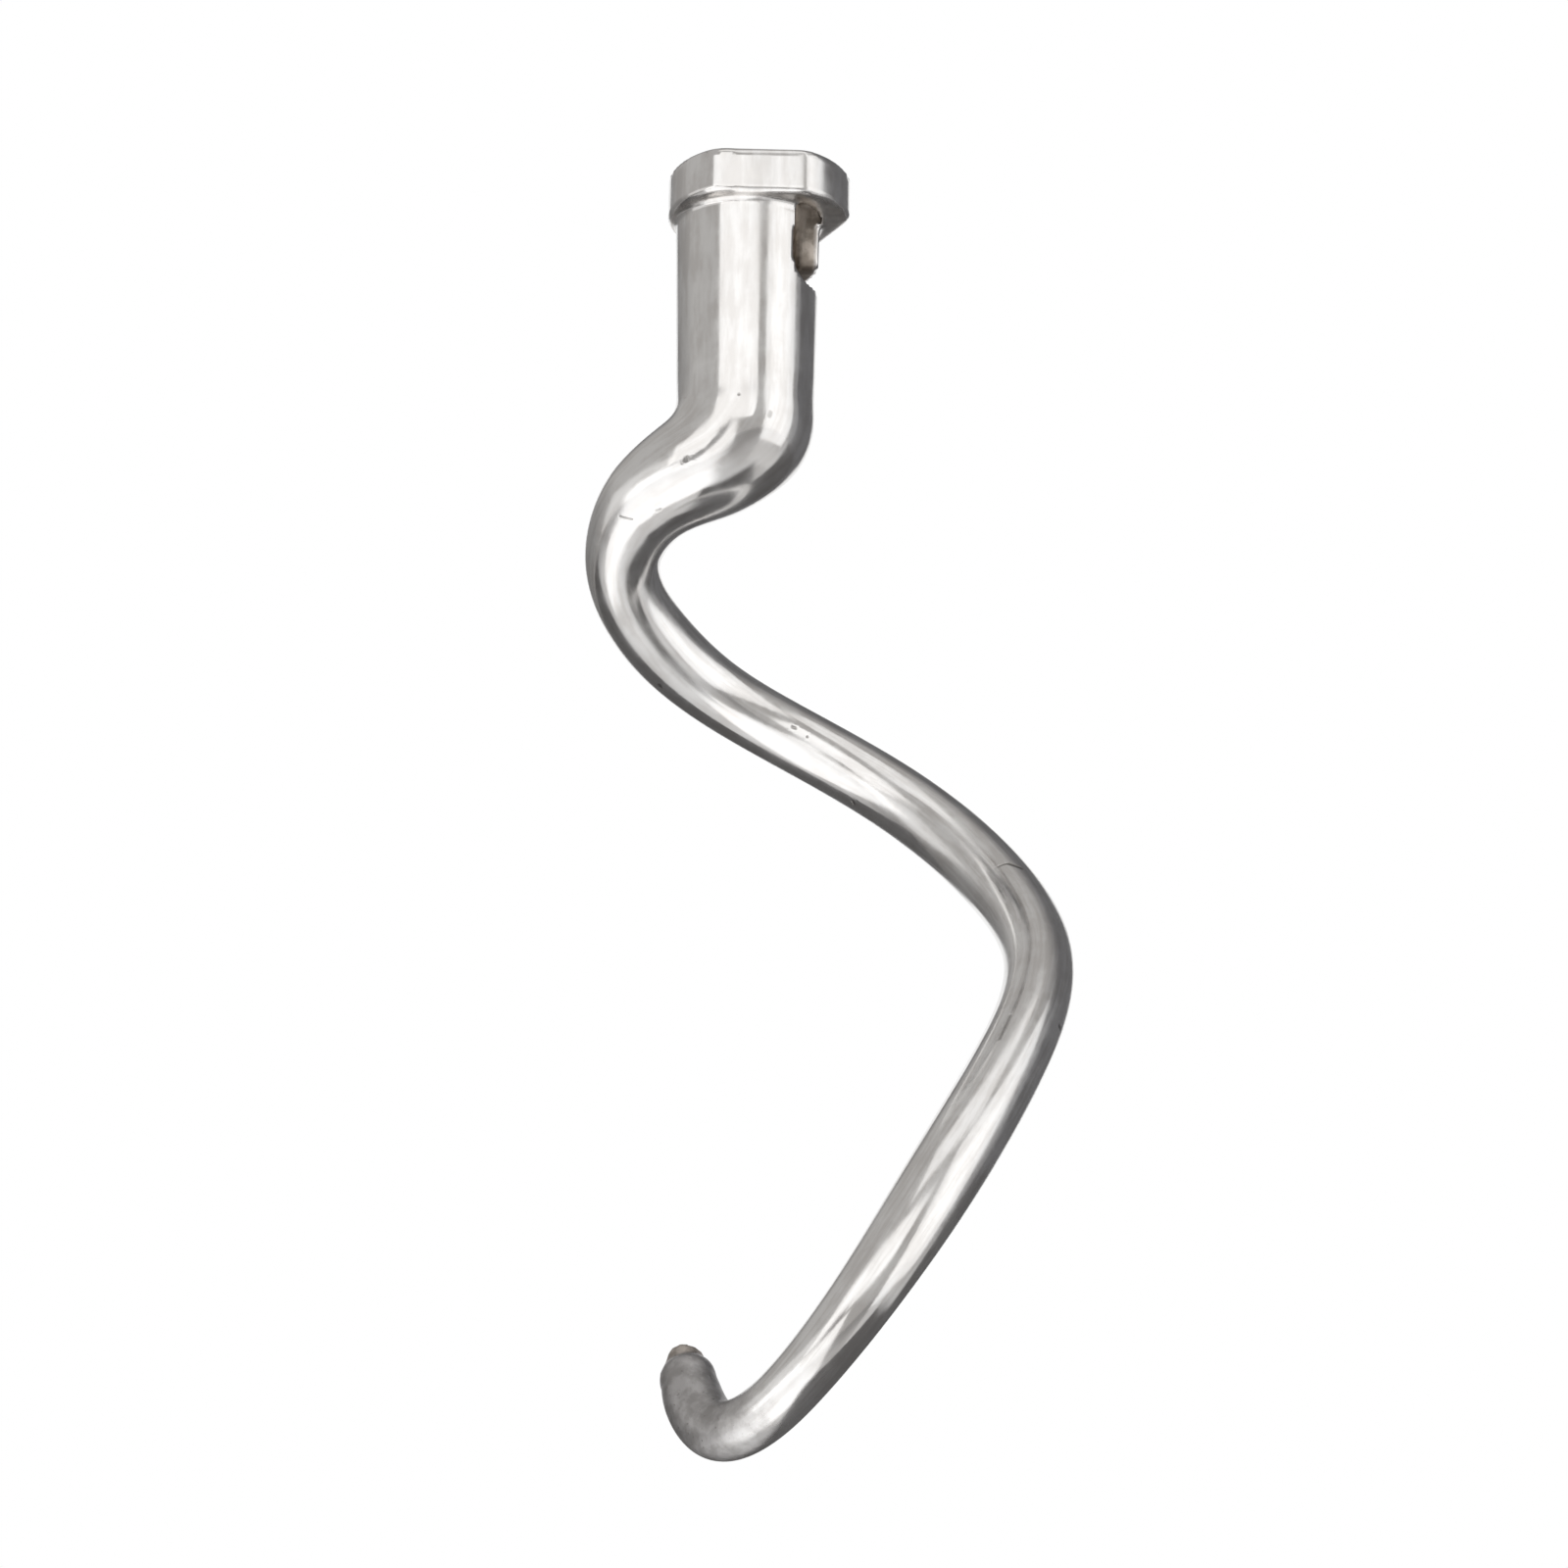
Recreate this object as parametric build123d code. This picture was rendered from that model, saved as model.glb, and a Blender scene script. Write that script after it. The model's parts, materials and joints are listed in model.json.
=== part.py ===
from build123d import *
from math import cos, radians, sin, tan
import os

# A stand mixer's dough hook, cast in one piece in aluminium. Millimetres, +Z up along the
# axis that the mixer turns. The origin is on that axis, where the socket's wall begins just
# below its mouth. Angles go round the axis: 0 is +X, 90 is +Y, and the hook's front is -90.

# Shank, tapered by its casting draft
shank_diameter = 30.0
shank_end_diameter = 28.4
shank_length = 40.0
shank_lead_in = 4.0

# Socket for the mixer's shaft, drilled blind
bore_diameter = 20.0
bore_depth = 44.0
drill_point_angle = 118.0
mouth_chamfer = 1.0

# Collar, wider on the slot's side because the keyway thins it there
collar_height = 10.0
collar_overhang_slot_side = 6.4
collar_overhang_far_side = 1.6
collar_rim_rounding = 0.8
collar_top_chamfer = 0.6
collar_root_flare = 0.6
front_flat_angle = -88.0
front_flat_overhang = 1.7
back_flat_angle = 27.0
back_flat_overhang = 3.3

# J-shaped slot for the shaft's cross pin: down from the collar, then round under a lug
slot_near_angle = -47.5
slot_lug_angle = -2.0
slot_end_angle = 62.0
slot_depth = 15.9
slot_leg_height = 6.4
slot_near_rounding = 4.4
slot_lug_rounding = 2.0
slot_end_rounding = 2.6
slot_edge_chamfer = 0.6
keyway_clearance = 0.4

# Elbow from the shank into the arm, turned about a line beside the shank: turn, and radius as a
# share of the radius at the shank's end
elbow_inner_radius = 5.5
elbow_sections = [(19.0, 1.007), (38.0, 0.908), (57.0, 0.817)]

# Spiral of the arm: angle, then shares of the reach from the axis, of the drop below the shank's
# end and of the thickness
arm_reach = 60.0
arm_drop = 208.1
arm_thickness = 14.2
arm_stations = [
    (165.0, 0.358, 0.099, 1.338),
    (150.0, 0.487, 0.145, 1.099),
    (125.0, 0.547, 0.201, 1.099),
    (100.0, 0.603, 0.246, 1.028),
    (75.0, 0.693, 0.290, 1.000),
    (50.0, 0.823, 0.352, 1.014),
    (25.0, 0.950, 0.449, 1.021),
    (5.0, 1.000, 0.552, 0.972),
    (-15.0, 0.890, 0.673, 1.000),
    (-35.0, 0.787, 0.781, 1.000),
    (-52.0, 0.692, 0.878, 0.873),
    (-67.0, 0.563, 0.955, 0.775),
    (-80.0, 0.438, 0.993, 0.761),
    (-97.0, 0.325, 1.000, 0.789),
    (-115.0, 0.257, 0.977, 0.803),
    (-130.0, 0.215, 0.950, 0.746),
]
tip_dome_height = 3.0

# Stub of the casting's gate, left leaning on the tip
gate_stub_diameter = 7.8
gate_stub_height = 2.0
gate_stub_lean = 24.0
gate_stub_offset = 1.5
gate_stub_chamfer = 0.6

shank_radius = shank_diameter / 2
shank_end_radius = shank_end_diameter / 2
bore_radius = bore_diameter / 2
collar_top = mouth_chamfer
collar_underside = collar_top - collar_height
shank_end = collar_underside - shank_length
cut_margin = 2.0


def around(angle, distance, height):
    return Vector(distance * cos(radians(angle)), distance * sin(radians(angle)), height)


def quartered_disc(radius):
    quarters = [CenterArc((0, 0), radius, start, 90) for start in (0, 90, 180, 270)]
    return make_face(Curve() + quarters)


def ring_sector(inner, outer, low, high, start, stop):
    profile = Pos((inner + outer) / 2, (low + high) / 2) * Rectangle(outer - inner, high - low)
    return revolve(Rot(0, 0, start) * (Plane.XZ * profile), Axis.Z, revolution_arc=stop - start)


def radial_edge(solid, angle, distance, height):
    return solid.edges().sort_by_distance(around(angle, distance, height))[0]


def make_collar():
    radius = shank_radius + (collar_overhang_slot_side + collar_overhang_far_side) / 2
    centre = (collar_overhang_slot_side - collar_overhang_far_side) / 2
    outline = Pos(centre, 0) * Circle(radius)
    for angle, overhang in ((front_flat_angle, front_flat_overhang), (back_flat_angle, back_flat_overhang)):
        beyond = Pos(shank_radius + overhang + radius, 0) * Rectangle(2 * radius, 4 * radius)
        outline -= Rot(0, 0, angle) * beyond
    collar = Pos(0, 0, collar_underside) * extrude(outline, collar_height)
    collar = fillet(collar.faces().sort_by(Axis.Z)[0].edges(), collar_rim_rounding)
    collar = chamfer(collar.faces().sort_by(Axis.Z)[-1].edges(), collar_top_chamfer)
    return collar + make_collar_root()


def make_collar_root():
    # A narrow cone that runs on into the shank, so that the two meet in a clean line
    edge = shank_radius + collar_root_flare
    depth = collar_root_flare + cut_margin
    outline = Polyline(
        (edge, collar_underside),
        (edge - depth, collar_underside - depth),
        (bore_radius, collar_underside - depth),
        (bore_radius, collar_underside),
        close=True,
    )
    return revolve(Rot(0, 0, 180) * (Plane.XZ * make_face(outline)), Axis.Z)


def shank_radius_at(height):
    draft = (shank_radius - shank_end_radius) / shank_length
    return shank_end_radius + draft * (height - shank_end)


def make_shank(slot):
    top = collar_underside + collar_height / 2
    bottom = shank_end + shank_lead_in
    profile = Polyline(
        (0, top),
        (shank_radius_at(top), top),
        (shank_radius_at(bottom), bottom),
        (0, bottom),
        close=True,
    )
    shank = revolve(Rot(0, 0, 180) * (Plane.XZ * make_face(profile)), Axis.Z) - slot
    skin = shank.faces().filter_by(GeomType.CONE).sort_by(SortBy.AREA)[-1]
    slot_edges = skin.edges().filter_by_position(Axis.X, 0, shank_radius)
    slot_edges = slot_edges.filter_by_position(Axis.Z, bottom + cut_margin, top - cut_margin)
    return chamfer(slot_edges, slot_edge_chamfer)


def make_tip(radius):
    rim = EllipticalCenterArc((0, 0), radius, tip_dome_height, start_angle=0, arc_size=90)
    quarter = make_face(Curve() + [Line((0, 0), (radius, 0)), rim, Line((0, tip_dome_height), (0, 0))])
    dome = revolve(Plane.XZ * quarter, Axis.Z)
    stub = extrude(Circle(gate_stub_diameter / 2), tip_dome_height + gate_stub_height)
    stub = chamfer(stub.faces().sort_by(Axis.Z)[-1].edges(), gate_stub_chamfer)
    return dome + Pos(-gate_stub_offset, 0) * Rot(0, gate_stub_lean, 0) * stub


def make_arm():
    # The arm leads in over the end of the straight shank, so that it leaves the shank smoothly
    lead_in_heights = [shank_end + shank_lead_in * share for share in (1, 0.5, 0)]
    points = [Vector(0, 0, height) for height in lead_in_heights]
    radii = [shank_radius_at(height) for height in lead_in_heights]
    headings = [Vector(0, 0, -1) for height in lead_in_heights]

    pivot = Vector(-shank_end_radius - elbow_inner_radius, 0, shank_end)
    for turn, share in elbow_sections:
        radius = shank_end_radius * share
        outward = Vector(cos(radians(turn)), 0, -sin(radians(turn)))
        points.append(pivot + outward * (elbow_inner_radius + radius))
        headings.append(Vector(-sin(radians(turn)), 0, -cos(radians(turn))))
        radii.append(radius)

    for angle, out, drop, thickness in arm_stations:
        points.append(around(angle, arm_reach * out, shank_end - arm_drop * drop))
        radii.append(arm_thickness / 2 * thickness)
    path = Spline(*points)
    headings += [path.tangent_at(path.param_at_point(point)) for point in points[len(headings):]]

    # Each section starts where the last one did, carried along the path, so the skin doesn't twist
    across = Vector(1, 0, 0)
    sections = []
    for point, heading, radius in zip(points, headings, radii):
        across = across - heading * across.dot(heading)
        sections.append(Plane(point, x_dir=across, z_dir=heading) * quartered_disc(radius))
    tip_seat = Plane(points[-1], x_dir=(1, 0, 0), z_dir=headings[-1])
    return loft(sections) + tip_seat * make_tip(radii[-1])


def make_socket():
    point_depth = bore_radius / tan(radians(drill_point_angle / 2))
    profile = Polyline(
        (0, collar_top),
        (bore_radius + mouth_chamfer, collar_top),
        (bore_radius, 0),
        (bore_radius, -bore_depth),
        (0, -bore_depth - point_depth),
        close=True,
    )
    return revolve(Plane.XZ * make_face(profile), Axis.Z)


def make_slot():
    floor = collar_underside - slot_depth
    lug_underside = floor + slot_leg_height
    inner = bore_radius - cut_margin
    outer = shank_radius + cut_margin
    middle = (inner + outer) / 2
    leg = ring_sector(inner, outer, floor, lug_underside, slot_near_angle, slot_end_angle)
    leg = fillet(radial_edge(leg, slot_near_angle, middle, floor), slot_near_rounding)
    leg = fillet(radial_edge(leg, slot_end_angle, middle, floor), slot_end_rounding)
    leg = fillet(radial_edge(leg, slot_end_angle, middle, lug_underside), slot_end_rounding)
    window_floor = floor + slot_near_rounding
    window = ring_sector(inner, outer, window_floor, collar_underside, slot_near_angle, slot_lug_angle)
    slot = leg + window
    slot = fillet(radial_edge(slot, slot_lug_angle, middle, lug_underside), slot_lug_rounding)
    keyway_radius = shank_radius + keyway_clearance
    top = collar_top + cut_margin
    keyway = ring_sector(inner, keyway_radius, collar_underside, top, slot_near_angle, slot_lug_angle)
    return slot + keyway


slot = make_slot()
hook = make_collar() - slot + make_shank(slot) + make_arm() - make_socket()

os.makedirs("parts", exist_ok=True)
export_step(hook, "parts/dough_hook.step")
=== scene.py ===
import json
from math import cos, pi, radians, sin

import bmesh
import bpy
import numpy as np
from mathutils import Matrix, Vector
from mathutils.bvhtree import BVHTree


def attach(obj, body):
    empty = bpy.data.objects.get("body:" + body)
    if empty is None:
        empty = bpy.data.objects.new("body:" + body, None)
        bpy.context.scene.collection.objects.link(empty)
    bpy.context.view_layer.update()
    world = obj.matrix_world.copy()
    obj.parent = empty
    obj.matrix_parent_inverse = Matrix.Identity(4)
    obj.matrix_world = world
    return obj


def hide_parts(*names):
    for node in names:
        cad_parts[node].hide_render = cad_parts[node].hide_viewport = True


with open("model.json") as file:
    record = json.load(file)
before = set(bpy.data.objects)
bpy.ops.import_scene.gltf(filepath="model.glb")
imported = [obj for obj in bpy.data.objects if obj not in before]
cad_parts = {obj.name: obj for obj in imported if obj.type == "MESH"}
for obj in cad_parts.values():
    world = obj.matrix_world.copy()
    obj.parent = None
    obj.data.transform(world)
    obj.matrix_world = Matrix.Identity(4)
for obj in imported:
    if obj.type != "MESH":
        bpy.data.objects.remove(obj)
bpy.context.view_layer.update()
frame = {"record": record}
mm = 0.001
tiny = 1e-6                    # keeps a division safe
scene = bpy.context.scene
scene.view_settings.view_transform = "Standard"


# small helpers for objects and node trees

def addObject(name, data):
    made = bpy.data.objects.new(name, data)
    scene.collection.objects.link(made)
    return made


def evaluatedMesh(source):
    graph = bpy.context.evaluated_depsgraph_get()
    return bpy.data.meshes.new_from_object(source.evaluated_get(graph), depsgraph=graph)


def addNode(tree, kind, settings=None, **inputs):
    node = tree.nodes.new(kind)
    for name, value in (settings or {}).items():
        setattr(node, name, value)
    for name, value in inputs.items():
        socket = node.inputs[int(name[1:])] if name[1:].isdigit() else node.inputs[name.replace("_", " ")]
        if isinstance(value, bpy.types.NodeSocket):
            tree.links.new(value, socket)
        else:
            socket.default_value = value
    return node


def mathNode(tree, operation, first, second=0.0, clamp=False):
    settings = {"operation": operation, "use_clamp": clamp}
    return addNode(tree, "ShaderNodeMath", settings, i0=first, i1=second).outputs[0]


def storedValue(tree, name, kind):
    # an attribute of the mesh, read in a Geometry Nodes tree
    return addNode(tree, "GeometryNodeInputNamedAttribute", {"data_type": kind}, Name=name).outputs[0]


def groupSockets(tree, inputs, outputs):
    for name, kind, value in inputs:
        socket = tree.interface.new_socket(name, in_out="INPUT", socket_type=kind)
        if value is not None:
            socket.default_value = value
    for name, kind in outputs:
        tree.interface.new_socket(name, in_out="OUTPUT", socket_type=kind)
    return tree.nodes.new("NodeGroupInput"), tree.nodes.new("NodeGroupOutput")


def nodesModifier(target, tree, **values):
    modifier = target.modifiers.new(tree.name, "NODES")
    modifier.node_group = tree
    for item in tree.interface.items_tree:
        if item.item_type == "SOCKET" and item.in_out == "INPUT" and item.name.replace(" ", "_") in values:
            modifier[item.identifier] = values[item.name.replace(" ", "_")]
    return modifier


# the view: a long lens just below the hook, looking up at it

photoCamera = {
    "focalPixels": 3295,
    "framePixels": 1600,
    "sensor": 36.0,
    "place": Vector((8.79, -626.54, -285.53)) * mm,
    "tiltUp": radians(14.0),
    "roll": radians(0.6),
    "nearest": 0.02,
}


def makeCamera(c):
    ahead = Vector((0, cos(c["tiltUp"]), sin(c["tiltUp"])))
    level = Vector((1, 0, 0))
    upright = level.cross(ahead)
    right = level * cos(c["roll"]) + upright * sin(c["roll"])
    up = upright * cos(c["roll"]) - level * sin(c["roll"])
    data = bpy.data.cameras.new("photoCamera")
    data.sensor_width = c["sensor"]
    data.lens = c["sensor"] * c["focalPixels"] / c["framePixels"]
    data.clip_start = c["nearest"]
    camera = addObject("photoCamera", data)
    turn = Matrix((right, up, -ahead)).transposed()
    camera.matrix_world = Matrix.Translation(c["place"]) @ turn.to_4x4()
    scene.camera = camera
    return camera


def pixelRay(camera, c, pixel):
    half = c["framePixels"] / 2
    local = Vector(((pixel[0] - half) / c["focalPixels"], (half - pixel[1]) / c["focalPixels"], -1))
    return c["place"], (camera.matrix_world.to_3x3() @ local).normalized()


camera = makeCamera(photoCamera)
print("camera set, lens", round(camera.data.lens, 1), "mm")


# the hook's line: straight shank, elbow, spiral, tip

driveSocket = next(m for m in frame["record"]["mounts"] if m["name"] == "drive_socket")["dims"]
hookLine = {
    "shankTop": -4.0,          # hidden inside the collar
    "shankRadius": 15.0,
    "shankRadiusHeight": -9.0,
    "shankEnd": -49.0,
    "shankEndRadius": 14.2,
    "leadIn": 4.0,
    "elbowInnerRadius": 5.5,
    "elbow": [(19, 14.3), (38, 12.9), (57, 11.6)],     # turn, radius
    "elbowSteps": 12,
    "elbowLead": 3.0,          # its skin begins this far above the shank's end
    "elbowDrop": 18.0,         # and ends this far below it
    "spiral": [                # angle, distance from the axis, drop below the shank's end, thickness
        (165, 21.5, 20.6, 19.0),
        (150, 29.2, 30.1, 15.6),
        (125, 32.8, 41.8, 15.6),
        (100, 36.2, 51.2, 14.6),
        (75, 41.6, 60.3, 14.2),
        (50, 49.4, 73.2, 14.4),
        (25, 57.0, 93.5, 14.5),
        (5, 60.0, 114.8, 13.8),
        (-15, 53.4, 140.0, 14.2),
        (-35, 47.2, 162.5, 14.2),
        (-52, 41.5, 182.8, 12.4),
        (-67, 33.8, 198.8, 11.0),
        (-80, 26.3, 206.6, 10.8),
        (-97, 19.5, 208.1, 11.2),
        (-115, 15.4, 203.3, 11.4),
        (-130, 12.9, 197.6, 10.6),
    ],
    "tipDome": 3.0,
    "domeRings": 10,
    "ringGap": 0.7,
    "tangentStep": 0.01,
    "sides": 120,
    "seamGap": 0.002,
}


def around(angle, distance, height):
    return np.array((distance * cos(radians(angle)), distance * sin(radians(angle)), height))


def shankRadiusAt(height):
    h = hookLine
    share = (h["shankRadiusHeight"] - height) / (h["shankRadiusHeight"] - h["shankEnd"])
    return h["shankRadius"] + (h["shankEndRadius"] - h["shankRadius"]) * share


def naturalSpline(knots, values, at):
    # cubic through every value, with free ends
    gaps = np.diff(knots)
    count = len(knots)
    system = np.eye(count)
    pull = np.zeros((count, values.shape[1]))
    for i in range(1, count - 1):
        system[i, i - 1:i + 2] = gaps[i - 1], 2 * (gaps[i - 1] + gaps[i]), gaps[i]
        pull[i] = 6 * ((values[i + 1] - values[i]) / gaps[i] - (values[i] - values[i - 1]) / gaps[i - 1])
    bend = np.linalg.solve(system, pull)
    k = np.clip(np.searchsorted(knots, at) - 1, 0, count - 2)
    g = gaps[k][:, None]
    a = (knots[k + 1] - at)[:, None] / g
    b = 1 - a
    return a * values[k] + b * values[k + 1] + ((a**3 - a) * bend[k] + (b**3 - b) * bend[k + 1]) * g**2 / 6


def hookCentreline(h):
    # rows of place, radius and the way the ring there faces
    down = (0, 0, -1)
    straight = np.arange(h["shankTop"], h["shankEnd"] + h["leadIn"], -h["ringGap"])
    rows = [(0, 0, z, shankRadiusAt(z), *down) for z in straight]
    leadIn = [h["shankEnd"] + h["leadIn"] * share for share in (1, 0.5, 0)]
    stations = [(0, 0, z, shankRadiusAt(z), *down) for z in leadIn]
    # the elbow's rings all turn about one line beside the shank
    pivot = -h["shankEndRadius"] - h["elbowInnerRadius"]
    given = np.array([(0, h["shankEndRadius"])] + h["elbow"], float)
    turns = np.linspace(0, given[-1, 0], h["elbowSteps"] + 1)[1:]
    widths = naturalSpline(given[:, 0], given[:, 1:], turns)[:, 0]
    for turn, radius in zip(np.radians(turns), widths):
        out = h["elbowInnerRadius"] + radius
        place = (pivot + out * cos(turn), 0, h["shankEnd"] - out * sin(turn))
        stations.append((*place, radius, -sin(turn), 0, -cos(turn)))
    armFirst = len(stations)
    for angle, distance, drop, thickness in h["spiral"]:
        stations.append((*around(angle, distance, h["shankEnd"] - drop), thickness / 2, *down))
    stations = np.array(stations, float)
    knots = np.concatenate(([0], np.cumsum(np.linalg.norm(np.diff(stations[:, :3], axis=0), axis=1))))
    # the arm's rings stand across its own line
    step = h["tangentStep"]
    before, after = (naturalSpline(knots, stations[:, :3], knots + gap) for gap in (-step, step))
    ahead = (after - before) / np.linalg.norm(after - before, axis=1, keepdims=True)
    stations[armFirst:, 4:] = ahead[armFirst:]
    curved = naturalSpline(knots, stations, np.arange(0, knots[-1], h["ringGap"]))
    curved[:, 4:] /= np.linalg.norm(curved[:, 4:], axis=1, keepdims=True)
    end, heading = stations[-1], stations[-1, 4:]
    dome = []
    for step in range(h["domeRings"] + 1):
        rise = step / h["domeRings"] * pi / 2
        dome.append((*(end[:3] + heading * h["tipDome"] * sin(rise)), end[3] * cos(rise), *heading))
    return np.vstack((rows, curved, dome)), heading


def tubeTree():
    # a sheet wrapped round the rows: each row gives its place and its ring's two half widths
    tree = bpy.data.node_groups.new("taperingTube", "GeometryNodeTree")
    inputs = [("Rows", "NodeSocketGeometry", None), ("Sides", "NodeSocketInt", 64),
              ("Seam gap", "NodeSocketFloat", 0.0), ("Material", "NodeSocketMaterial", None)]
    start, end = groupSockets(tree, inputs, [("Mesh", "NodeSocketGeometry")])
    given = start.outputs["Rows"]
    sides = start.outputs["Sides"]
    count = addNode(tree, "GeometryNodeAttributeDomainSize", Geometry=given).outputs["Point Count"]
    columns = mathNode(tree, "ADD", sides, 1.0)
    sheet = addNode(tree, "GeometryNodeMeshGrid", Vertices_X=count, Vertices_Y=columns)
    index = tree.nodes.new("GeometryNodeInputIndex").outputs[0]
    row = mathNode(tree, "FLOOR", mathNode(tree, "DIVIDE", mathNode(tree, "ADD", index, 0.5), columns))
    column = mathNode(tree, "SUBTRACT", index, mathNode(tree, "MULTIPLY", row, columns))
    turn = mathNode(tree, "MULTIPLY", mathNode(tree, "DIVIDE", column, sides), 2 * pi)

    def atRow(value):
        node = addNode(tree, "GeometryNodeSampleIndex", {"data_type": "FLOAT_VECTOR"}, Geometry=given,
                       Value=value, Index=row)
        return node.outputs[0]

    spot = atRow(tree.nodes.new("GeometryNodeInputPosition").outputs[0])
    for name, operation in (("wide", "COSINE"), ("deep", "SINE")):
        half = atRow(storedValue(tree, name, "FLOAT_VECTOR"))
        share = mathNode(tree, operation, turn)
        part = addNode(tree, "ShaderNodeVectorMath", {"operation": "SCALE"}, i0=half, Scale=share)
        total = addNode(tree, "ShaderNodeVectorMath", {"operation": "ADD"}, i0=spot, i1=part.outputs[0])
        spot = total.outputs[0]
    wrapped = addNode(tree, "GeometryNodeSetPosition", Geometry=sheet.outputs["Mesh"], Position=spot)
    closed = addNode(tree, "GeometryNodeMergeByDistance", Geometry=wrapped.outputs[0],
                     Distance=start.outputs["Seam gap"])
    whole = addNode(tree, "GeometryNodeRealizeInstances", Geometry=closed.outputs[0])
    dressed = addNode(tree, "GeometryNodeSetMaterial", Geometry=whole.outputs[0],
                      Material=start.outputs["Material"])
    tree.links.new(dressed.outputs[0], end.inputs["Mesh"])
    return tree


def makeTube(h, rows, material):
    rows = np.vstack((rows[:1], rows))
    rows[0, 3] = 0.0           # closes the top
    facing = rows[:, 4:]
    across = np.zeros_like(facing)
    side = np.array((1.0, 0.0, 0.0))
    for i, way in enumerate(facing):
        side = side - way * side.dot(way)
        side /= np.linalg.norm(side)
        across[i] = side
    mesh = bpy.data.meshes.new("hookRows")
    mesh.from_pydata(rows[:, :3] * mm, [], [])
    storePoints(mesh, "wide", "FLOAT_VECTOR", across * rows[:, 3:4] * mm)
    storePoints(mesh, "deep", "FLOAT_VECTOR", np.cross(facing, across) * rows[:, 3:4] * mm)
    source = addObject("hookRows", mesh)
    nodesModifier(source, tubeTree(), Sides=h["sides"], Seam_gap=h["seamGap"] * mm, Material=material)
    tube = addObject("hookTube", evaluatedMesh(source))
    bpy.data.objects.remove(source)
    shape = bmesh.new()
    shape.from_mesh(tube.data)
    bmesh.ops.recalc_face_normals(shape, faces=shape.faces)
    shape.to_mesh(tube.data)
    shape.free()
    return tube


# the other forms of the casting, cut and joined before the skin is made

castForms = {
    "collarTop": 1.0,
    "collarUnderside": -9.0,
    "collarRadius": 19.0,
    "collarCentre": 2.4,       # off the axis, towards the slot
    "collarFlats": [(-88, 16.7), (27, 18.3)],      # direction, distance from the axis
    "cornerBlend": 0.9,
    "leastFacing": 0.05,       # a flat stops short of lying along its own direction
    "farAway": 1000.0,
    "collarPoints": 480,
    "rimSteps": 5,
    "rimRounding": 0.8,
    "topChamfer": 0.6,
    "slotNear": -47.5,
    "slotLug": -2.0,
    "slotEnd": 62.0,
    "slotTop": -4.0,           # hidden inside the collar
    "slotFloor": -24.9,
    "lugUnderside": -18.5,
    "nearRounding": 4.4,
    "lugRounding": 2.0,
    "endRounding": 2.6,
    "cornerSteps": 12,
    "outlineGap": 0.3,
    "keywayRadius": 15.4,
    "cutInner": 8.0,
    "cutOuter": 17.5,
    "overlap": 0.6,
    "drillPoint": radians(118),
    "drillTip": 0.05,
    "boreSides": 160,
    "mouthChamfer": 1.0,
    "stubRadius": 3.6,
    "stubHeight": 5.4,
    "stubChamfer": 0.6,
    "stubLean": radians(24),
    "stubOffset": 1.1,
    "stubSides": 64,
}


def layeredSolid(name, loops):
    mesh = bpy.data.meshes.new(name)
    shape = bmesh.new()
    rings = [[shape.verts.new(Vector(p) * mm) for p in loop] for loop in loops]
    for low, high in zip(rings, rings[1:]):
        for i in range(len(low)):
            j = (i + 1) % len(low)
            shape.faces.new((low[i], low[j], high[j], high[i]))
    shape.faces.new(rings[0])
    shape.faces.new(rings[-1])
    bmesh.ops.recalc_face_normals(shape, faces=shape.faces)
    shape.to_mesh(mesh)
    shape.free()
    return addObject(name, mesh)


def lathe(name, profile, sides):
    turns = [2 * pi * i / sides for i in range(sides)]
    return layeredSolid(name, [[(r * cos(a), r * sin(a), z) for a in turns] for r, z in profile])


def collarReach(f, angles, inset):
    # how far the collar's outline lies from its own centre
    reach = np.full(len(angles), f["collarRadius"] - inset)
    for direction, distance in f["collarFlats"]:
        gap = distance - inset - f["collarCentre"] * cos(radians(direction))
        facing = np.maximum(np.cos(angles - radians(direction)), f["leastFacing"])
        flat = np.where(facing > f["leastFacing"], gap / facing, f["farAway"])
        blend = np.clip(0.5 + 0.5 * (flat - reach) / f["cornerBlend"], 0, 1)
        reach = flat + (reach - flat) * blend - f["cornerBlend"] * blend * (1 - blend)
    return reach


def makeCollar(f):
    angles = np.linspace(0, 2 * pi, f["collarPoints"], endpoint=False)
    rim = f["rimRounding"]
    layers = []
    for step in range(f["rimSteps"] + 1):
        a = step / f["rimSteps"] * pi / 2
        layers.append((f["collarUnderside"] + rim * (1 - cos(a)), rim * (1 - sin(a))))
    layers += [(f["collarTop"] - f["topChamfer"], 0), (f["collarTop"], f["topChamfer"])]
    loops = []
    for z, inset in layers:
        reach = collarReach(f, angles, inset)
        loops.append([(f["collarCentre"] + r * cos(a), r * sin(a), z) for a, r in zip(angles, reach)])
    return layeredSolid("collar", loops)


def roundedOutline(f, corners):
    # corners with their roundings, as points at an even gap
    outline = []
    for k, (x, y, rounding) in enumerate(corners):
        here = Vector((x, y))
        back = (Vector(corners[k - 1][:2]) - here).normalized()
        on = (Vector(corners[(k + 1) % len(corners)][:2]) - here).normalized()
        if rounding == 0:
            outline.append(here)
            continue
        halfAngle = back.angle(on) / 2
        tangent = rounding * cos(halfAngle) / sin(halfAngle)
        middle = here + (back + on).normalized() * rounding / sin(halfAngle)
        first, last = here + back * tangent, here + on * tangent
        for step in range(f["cornerSteps"] + 1):
            spot = first.lerp(last, step / f["cornerSteps"]) - middle
            outline.append(middle + spot.normalized() * rounding)
    dense = []
    for k, here in enumerate(outline):
        there = outline[(k + 1) % len(outline)]
        steps = max(1, int((there - here).length / f["outlineGap"]))
        dense += [here.lerp(there, s / steps) for s in range(steps)]
    return dense


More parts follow.
